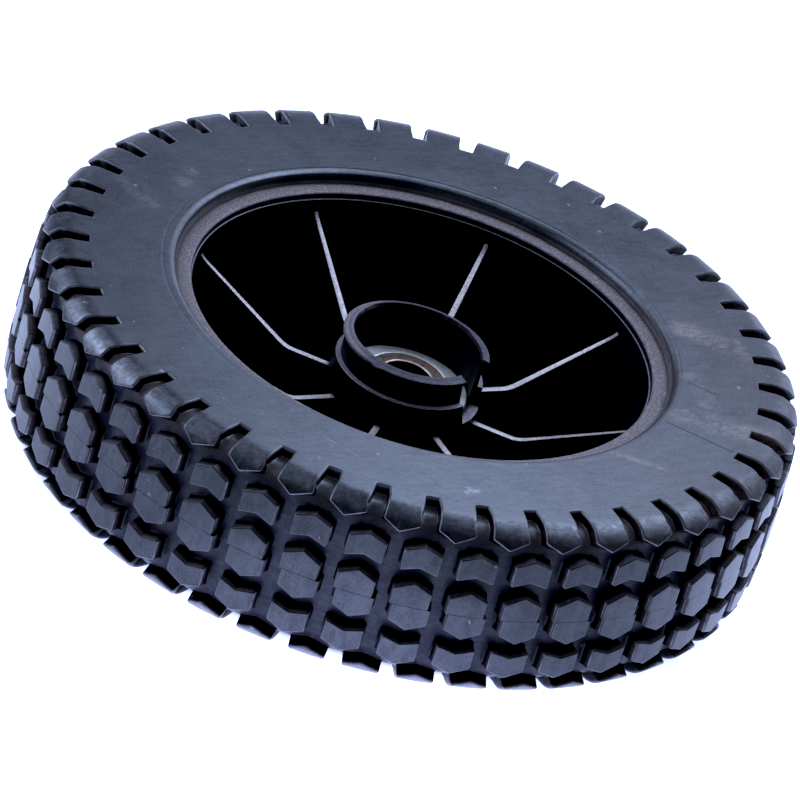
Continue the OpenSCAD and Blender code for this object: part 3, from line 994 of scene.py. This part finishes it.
    # brushed and handled surface: fine streaks round the wheel and slanting rubs
    pol = k.nt.nodes.new("ShaderNodeCombineXYZ")
    k.put(pol.inputs[0], k.math("DIVIDE", k.x, r))
    k.put(pol.inputs[1], k.math("DIVIDE", k.y, r))
    k.put(pol.inputs[2], k.math("MULTIPLY", r, 60.0))
    round_it = k.noise(26.0, 5.0, 0.75, 0.0, pol.outputs[0])
    slant = k.noise(1.0, 4.0, 0.7, 0.4, k.stretch(150, 900, 300, 0.6))
    rub = k.math("ADD", k.math("MULTIPLY", k.ramp(round_it, 0.3, 0.7), 0.5),
                 k.math("MULTIPLY", k.ramp(slant, 0.3, 0.7), 0.5))
    mott = k.math("ADD", k.math("MULTIPLY", k.ramp(rub, 0.2, 0.8), 0.30),
                  k.math("MULTIPLY", k.ramp(n_mid, 0.3, 0.7), 0.22))
    mott = k.math("ADD", mott, k.math("MULTIPLY", k.ramp(n_grain, 0.35, 0.65), 0.42))
    mott = k.math("ADD", mott, k.math("MULTIPLY", k.ramp(n_big, 0.35, 0.65), 0.14))
    spec = k.math("MULTIPLY", spec, k.math("ADD", 0.43, mott))
    spec = k.math("MULTIPLY", spec, k.math("SUBTRACT", 1.0, k.math("MULTIPLY", dark, 0.85)))
    gloss = k.math("MULTIPLY", bend, k.ramp(k.noise(430.0, 6.0, 0.8, 0.5), 0.32, 0.68, -0.38, 0.42))
    spec = k.math("MULTIPLY", spec, k.math("ADD", 1.0, gloss))
    spec = k.math("MULTIPLY", spec, k.math("SUBTRACT", 1.0, k.math("MULTIPLY", film, 0.30)))
    # the upward walls of the tread blocks are dull with dust
    upw = k.math("MULTIPLY", k.ramp(k.nz, 0.12, 0.40), k.ramp(az, 0.0172, 0.0190, 1.0, 0.0))
    upw = k.math("MULTIPLY", upw, k.ramp(r, 0.0925, 0.0940))
    spec = k.math("MULTIPLY", spec, k.math("SUBTRACT", 1.0, k.math("MULTIPLY", upw, 0.72)))
    nrm = k.bump(n_grain, 0.55, 0.00002)
    nrm = k.bump(n_fine, 0.35, 0.00004, nrm)
    nrm = k.bump(slant, 0.20, 0.00003, nrm)
    nrm = k.bump(n_mid, 0.12, 0.00008, nrm)
    return k.finish(color, rough, nrm, 0.0, k.math("MULTIPLY", spec, 0.5), (0.92, 0.97, 1.0))


def plastic_look():
    k = Look("black_plastic")
    r = k.radius()
    n_mid = k.noise(140.0, 4.0, 0.6)
    n_fine = k.noise(1500.0, 3.0, 0.6)
    n_grain = k.noise(5200.0, 2.0, 0.5)
    base = k.mix(n_mid, (0.0012, 0.0012, 0.0016), (0.0026, 0.0026, 0.0034))
    facing = k.ramp(k.nz, 0.30, 0.85)
    # worn, greyed upper edges: rib tops, collar, step
    high = k.ramp(k.z, -0.0030, 0.0002)
    grey = k.math("MULTIPLY", k.math("MULTIPLY", facing, high), k.ramp(n_fine, 0.30, 0.66, 0.40, 1.0))
    color = k.mix(k.math("MULTIPLY", grey, k.ramp(k.noise(620.0, 3.0, 0.7), 0.3, 0.7, 0.55, 1.0)), base,
                  (0.165, 0.134, 0.138))
    # the rib tops are lighter again: worn grey, raised further as a painted highlight along them, and fading towards
    # the barrel
    rib = k.math("MULTIPLY", k.math("MULTIPLY", k.ramp(r, 0.0203, 0.0212), k.ramp(r, 0.0548, 0.0588, 1.0, 0.2)),
                 k.math("MULTIPLY", facing, high))
    rib = k.math("MULTIPLY", rib, k.ramp(k.z, 0.0165, 0.0175, 1.0, 0.0))
    # painted shade: the outer part of the rib towards the right front, at 136 degrees, is made darker, where it
    # catches less light
    shaded_rib_dir = k.math("DIVIDE", k.math("ADD", k.math("MULTIPLY", k.x, -0.7218), k.math("MULTIPLY", k.y, 0.6921)), r)
    rib = k.math("MULTIPLY", rib, k.math("SUBTRACT", 1.0, k.math("MULTIPLY", k.ramp(shaded_rib_dir, 0.96, 0.98),
                                                               k.ramp(r, 0.033, 0.040, 0.0, 0.68))))
    color = k.mix(k.math("MULTIPLY", rib, k.ramp(n_fine, 0.28, 0.68, 0.35, 1.0)), color, (0.43, 0.385, 0.335))
    # the flange: speckled dust on its flat outer part
    flange = k.math("MULTIPLY", facing, k.ramp(k.z, 0.0200, 0.0209))
    flat = k.ramp(r, 0.0606, 0.0614)
    speck = k.ramp(k.noise(2300.0, 3.0, 0.7), 0.30, 0.75)
    dust = k.mix(speck, (0.018, 0.014, 0.012), (0.200, 0.166, 0.150))
    dust = k.mix(k.ramp(k.noise(1250.0, 1.0, 0.5), 0.72, 0.78), dust, (0.42, 0.34, 0.27))
    side = k.math("SUBTRACT", k.math("MULTIPLY", k.y, 0.5667), k.math("MULTIPLY", k.x, 0.8240))
    # painted shade: the flange dust is darkened over the right part of the wheel, where less light falls; the same
    # mask also dulls the flange's reflection
    right_flange_shade = k.ramp(side, 0.026, 0.056)
    dust = k.mix(k.math("MULTIPLY", right_flange_shade, 0.12), dust, (0.010, 0.006, 0.005))
    color = k.mix(k.math("MULTIPLY", flange, flat), color, dust)
    brown = k.math("MULTIPLY", k.math("MULTIPLY", flange, k.ramp(r, 0.0630, 0.0641)),
                   k.ramp(k.noise(240.0, 4.0, 0.7), 0.45, 0.65))
    color = k.mix(k.math("MULTIPLY", brown, 0.6), color, (0.060, 0.040, 0.024))
    # painted shade: the flange turns near black towards its outer edge, in the gap under the tyre's bead lip
    lip_gap_shade = k.math("MULTIPLY", flange, k.ramp(k.math("ADD", r, k.math("MULTIPLY", n_mid, 0.0012)), 0.0638, 0.0649))
    color = k.mix(k.math("MULTIPLY", lip_gap_shade, 0.8), color, (0.006, 0.005, 0.004))
    # faint turned lines on the collar's top
    rings = k.nt.nodes.new("ShaderNodeTexNoise")
    comb = k.nt.nodes.new("ShaderNodeCombineXYZ")
    k.put(comb.inputs[0], k.math("MULTIPLY", r, 5200.0))
    k.put(comb.inputs[1], k.math("MULTIPLY", n_mid, 0.8))
    k.put(rings.inputs["Vector"], comb.outputs[0])
    rings.inputs["Scale"].default_value = 1.0
    rings.inputs["Detail"].default_value = 2.0
    line = k.math("MULTIPLY", k.ramp(k.z, 0.0146, 0.0150), k.ramp(r, 0.0195, 0.0200, 1.0, 0.0))
    color = k.mix(k.math("MULTIPLY", line, k.ramp(k.noise(500.0, 4.0, 0.7), 0.3, 0.7, 0.35, 0.75)), color,
                  (0.034, 0.032, 0.034))
    # painted highlight: the left part of the collar top is made lighter, where the light catches it
    color = k.mix(k.math("MULTIPLY", line, k.math("MULTIPLY", k.ramp(side, -0.0145, -0.0085, 1.0, 0.0),
                                                  k.ramp(n_fine, 0.3, 0.7, 0.5, 1.0))), color, (0.150, 0.132, 0.130))
    color = k.mix(k.math("MULTIPLY", line, k.ramp(rings.outputs[0], 0.40, 0.62, 0.0, 0.8)), color,
                  (0.012, 0.012, 0.015))
    # light dust on the inside wall of the collar
    wall = k.math("MULTIPLY", k.math("MULTIPLY", k.ramp(r, 0.0164, 0.0167), k.ramp(r, 0.0170, 0.0174, 1.0, 0.0)),
                  k.ramp(k.noise(170.0, 4.0, 0.7), 0.50, 0.75))
    color = k.mix(k.math("MULTIPLY", wall, 0.5), color, (0.022, 0.019, 0.018))
    # the floor of the opening is clean and dark towards the bearing
    inner = k.math("MULTIPLY", k.ramp(k.math("ABSOLUTE", k.math("SUBTRACT", k.z, GAP_Z * MM)), 0.0001, 0.0004, 1.0, 0.0),
                   k.ramp(r, 0.0172, 0.0177, 1.0, 0.0))
    color = k.mix(inner, color, (0.0015, 0.0015, 0.0018))
    rough = k.math("ADD", k.ramp(n_mid, 0.25, 0.8, 0.36, 0.55), k.ramp(k.z, -0.0070, -0.0055, 0.4, 0.0), clamp=True)
    nrm = k.bump(n_grain, 0.30, 0.00002)
    nrm = k.bump(n_fine, 0.35, 0.00003, nrm)
    nrm = k.bump(n_mid, 0.25, 0.00006, nrm)
    return k.finish(color, rough, nrm, 0.0, k.math("MULTIPLY", k.ramp(k.nz, 0.2, 0.8, 0.06, k.math("ADD", 0.40, k.math("MULTIPLY", rib, 0.3))),
                                                   k.math("MULTIPLY", k.ramp(k.z, -0.006, -0.002, 0.02, 1.0),
                                                          k.math("MULTIPLY", k.math("SUBTRACT", 1.0, k.math("MULTIPLY", line, 0.75)),
                                                                 k.math("SUBTRACT", 1.0, k.math("MULTIPLY", flange, k.ramp(right_flange_shade, 0.0, 1.0, 0.5, 0.60)))))))


def zinc_look():
    k = Look("mottled_zinc")
    n_big = k.noise(420.0, 4.0, 0.65, 0.6)
    n_fine = k.noise(2600.0, 3.0, 0.7)
    r = k.radius()
    color = k.mix(k.ramp(n_big, 0.3, 0.72), (0.33, 0.35, 0.31), (0.62, 0.62, 0.52))
    color = k.mix(k.ramp(n_fine, 0.45, 0.75, 0.0, 0.4), color, (0.20, 0.20, 0.17))
    rough = k.ramp(n_fine, 0.25, 0.8, 0.35, 0.55)
    lip = k.ramp(r, 0.0107, 0.0112, 1.0, 0.0)
    color = k.mix(k.math("MULTIPLY", lip, 0.8), color, (0.55, 0.56, 0.54))
    nrm = k.bump(n_big, 0.3, 0.00006)
    nrm = k.bump(n_fine, 0.3, 0.00002, nrm)
    return k.finish(color, rough, nrm, 0.25, 0.5)


def race_look():
    k = Look("browned_steel")
    r = k.radius()
    n_mid = k.noise(700.0, 4.0, 0.6)
    turn = k.nt.nodes.new("ShaderNodeTexNoise")
    comb = k.nt.nodes.new("ShaderNodeCombineXYZ")
    k.put(comb.inputs[0], k.math("MULTIPLY", r, 9000.0))
    k.put(comb.inputs[1], k.math("MULTIPLY", k.z, 9000.0))
    k.put(turn.inputs["Vector"], comb.outputs[0])
    turn.inputs["Scale"].default_value = 0.6
    color = k.mix(n_mid, (0.090, 0.056, 0.032), (0.125, 0.079, 0.045))
    color = k.mix(k.ramp(turn.outputs[0], 0.3, 0.7, 0.0, 0.4), color, (0.10, 0.065, 0.04))
    mid = k.math("ABSOLUTE", k.math("SUBTRACT", k.z, MIRROR_Z / 2 * MM))
    edge = k.math("MULTIPLY", k.ramp(r, 0.00662, 0.00676, 1.0, 0.0), k.ramp(mid, 0.01438, 0.01455))
    color = k.mix(edge, color, (0.42, 0.31, 0.26))
    # painted shade: the bore of the race is made near black
    color = k.mix(k.math("MULTIPLY", k.ramp(r, 0.00636, 0.00640, 1.0, 0.0), 0.97), color, (0.003, 0.002, 0.002))
    rough = k.ramp(n_mid, 0.3, 0.75, 0.25, 0.42)
    nrm = k.bump(turn.outputs[0], 0.25, 0.00001)
    return k.finish(color, rough, nrm, 0.45, 0.5)


def ball_look():
    k = Look("polished_steel")
    n_mid = k.noise(900.0, 3.0, 0.6)
    n_fine = k.noise(5000.0, 2.0, 0.6)
    color = k.mix(n_mid, (0.50, 0.49, 0.47), (0.62, 0.62, 0.62))
    color = k.mix(k.ramp(n_fine, 0.55, 0.8, 0.0, 0.3), color, (0.32, 0.28, 0.22))
    rough = k.ramp(n_mid, 0.3, 0.8, 0.10, 0.2)
    return k.finish(color, rough, k.bump(n_fine, 0.1, 0.000004), 1.0, 0.5)


def dress(ob, mat):
    ob.data.materials.clear()
    ob.data.materials.append(mat)


rubber = rubber_look()
plastic = plastic_look()
zinc = zinc_look()
race = race_look()
ball = ball_look()
for ob, mat, node, body, slot in (
        (tyre, rubber, "tyre", "wheel", "tyre_rubber"),
        (rim, plastic, "rim", "wheel", "rim_plastic"),
        (front_shell, zinc, "front_outer_race", "wheel", "zinc_shell"),
        (back_shell, zinc, "back_outer_race", "wheel", "zinc_shell"),
        (front_cone, race, "front_inner_race", "front_inner", "race_steel"),
        (back_cone, race, "back_inner_race", "back_inner", "race_steel")):
    dress(ob, mat)
    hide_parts(node)
    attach(ob, body)
for name in ("tyre", "front_outer_race", "back_outer_race", "rim", "front_inner_race", "back_inner_race",
             "front_balls", "back_balls"):
    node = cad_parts[name]
    mat = {"tyre": rubber, "rim": plastic, "front_balls": ball, "back_balls": ball,
           "front_inner_race": race, "back_inner_race": race}.get(name, zinc)
    dress(node, mat)
for name in ("front_balls", "back_balls"):
    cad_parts[name].data.shade_smooth()

# ---------------------------------------------------------------- floor
floor = new_object("floor", [(-2500, -2500, -24.62), (2500, -2500, -24.62), (2500, 2500, -24.62),
                             (-2500, 2500, -24.62)], [(0, 1, 2, 3)])
g = Look("pale_floor")
dress(floor, g.finish(g.mix(g.noise(9.0, 2.0), (0.86, 0.86, 0.86), (0.90, 0.90, 0.90)), 0.9, None, 0.0, 0.1))
# painted light: the floor glows, and so lights the wheel from below. The glow is cut away under the wheel, a painted
# shadow; it is strongest in a ring round the tyre, fades further out, and is weaker to the left and to the right.
g.bsdf.inputs["Emission Color"].default_value = (0.88, 1.00, 1.74, 1.0)     # lit from below
right = g.math("SUBTRACT", g.math("MULTIPLY", g.y, 0.5667), g.math("MULTIPLY", g.x, 0.8240))
g_r = g.radius()
glow = g.math("MULTIPLY", g.ramp(g_r, 0.084, 0.097), g.ramp(g_r, 0.132, 0.172, 2.65, 0.62))
glow = g.math("MULTIPLY", glow, g.ramp(right, -0.095, -0.005, 0.22, 1.0))
g.put(g.bsdf.inputs["Emission Strength"], g.math("MULTIPLY", glow, g.ramp(right, 0.02, 0.09, 1.0, 0.33)))
floor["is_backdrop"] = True

# ---------------------------------------------------------------- light
scene = bpy.context.scene
world = bpy.data.worlds.new("tent")
scene.world = world
world.use_nodes = True
wn = world.node_tree
wn.nodes.clear()
w_out = wn.nodes.new("ShaderNodeOutputWorld")
w_tc = wn.nodes.new("ShaderNodeTexCoord")


def toward(az, el):
    a, e = math.radians(az), math.radians(el)
    return (math.cos(e) * math.cos(a), math.cos(e) * math.sin(a), math.sin(e))


def w_lobe(az, el, lo, hi, out_lo, out_hi):
    """Strength that goes from out_lo to out_hi as a direction nears (az, el)."""
    d = wn.nodes.new("ShaderNodeVectorMath")
    d.operation = "DOT_PRODUCT"
    wn.links.new(w_tc.outputs["Generated"], d.inputs[0])
    d.inputs[1].default_value = toward(az, el)
    m = wn.nodes.new("ShaderNodeMapRange")
    m.interpolation_type = "SMOOTHSTEP"
    wn.links.new(d.outputs["Value"], m.inputs[0])
    for i, v in enumerate((lo, hi, out_lo, out_hi)):
        m.inputs[i + 1].default_value = v
    return m.outputs[0]


def w_add(strength, color):
    """One more part of the surroundings, added to what is there."""
    bg = wn.nodes.new("ShaderNodeBackground")
    bg.inputs["Color"].default_value = (*color, 1.0)
    wn.links.new(strength, bg.inputs["Strength"])
    if w_out.inputs["Surface"].is_linked:
        old = w_out.inputs["Surface"].links[0].from_socket
        ad = wn.nodes.new("ShaderNodeAddShader")
        wn.links.new(old, ad.inputs[0])
        wn.links.new(bg.outputs[0], ad.inputs[1])
        wn.links.new(ad.outputs[0], w_out.inputs["Surface"])
    else:
        wn.links.new(bg.outputs[0], w_out.inputs["Surface"])


TENT = [   # direction, height, strength: the bright parts of the surroundings
    (235.5, 8, 1.25), (205.5, 8, 0.85), (205.5, 28, 0.58), (175.5, 30, 0.60), (190.5, 50, 2.8),
    (160.5, 50, 1.35), (-79.5, 50, 1.9), (-64.5, 30, 2.3), (-34.5, 30, 0.8), (-29.5, 8, 2.5),
    (-4.5, 70, 0.8), (55.5, 3, 0.40)]
for t_az, t_el, t_power in TENT:
    w_add(w_lobe(t_az, t_el, 0.899, 0.9945, 0.0, t_power), (0.87, 1.00, 1.50))
w_add(w_lobe(0.0, 90.0, 0.766, 0.985, 0.0, 0.4), (0.87, 1.00, 1.50))


def box_at(name, spot, az, el, dist, size, power, color):
    """A softbox whose middle lies in that direction from a spot (mm), turned towards it."""
    d = bpy.data.lights.new(name, "AREA")
    d.shape = "RECTANGLE"
    d.size, d.size_y = size
    d.energy = power
    d.color = color
    ob = bpy.data.objects.new(name, d)
    scene.collection.objects.link(ob)
    ob.visible_camera = False
    at = Vector(spot) * MM
    ob.location = at + Vector(toward(az, el)) * dist
    ob.rotation_euler = (at - ob.location).to_track_quat("-Z", "Y").to_euler()
    return ob


PALE = (0.80, 1.00, 1.48)
box_at("right_box", (60, 70, 24.6), 210.5, 45, 0.40, (0.295, 0.147), 0.37, PALE)
box_at("near_right_box", (60, 70, 24.6), 205.5, 45, 0.25, (0.184, 0.092), 0.05, PALE)
box_at("back_box", (10, 125, 24.6), 235.5, 30.2, 0.40, (0.295, 0.147), 0.11, PALE)
box_at("back_right_box", (-60, 90, 24.6), 235.5, 38, 0.40, (0.295, 0.147), 0.15, PALE)
box_at("left_box", (95, 20, 20), -34.5, 40, 0.30, (0.221, 0.110), 0.48, PALE)
box_at("low_left_box", (95, 20, 20), -49.5, 30, 0.25, (0.184, 0.092), 0.107, PALE)

scene.view_settings.view_transform = "Standard"
scene.view_settings.look = "None"
scene.view_settings.exposure = 0.0
scene.view_settings.gamma = 1.0
scene.view_settings.use_curve_mapping = True          # a deep black point, as in the photo
scene.view_settings.curve_mapping.black_level = (0.0035, 0.0035, 0.0035)
scene.view_settings.curve_mapping.update()

final_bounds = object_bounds()


def plain(b):
    if isinstance(b, dict):
        return {str(k): plain(v) for k, v in b.items()}
    if not isinstance(b, str) and hasattr(b, "__len__"):
        return [plain(b[i]) for i in range(len(b))]
    return b if isinstance(b, (str, int, type(None))) else float(b)


{"after_load": plain(cad_bounds), "before_finish": plain(final_bounds)}
print("bounds", plain(cad_bounds), plain(final_bounds))
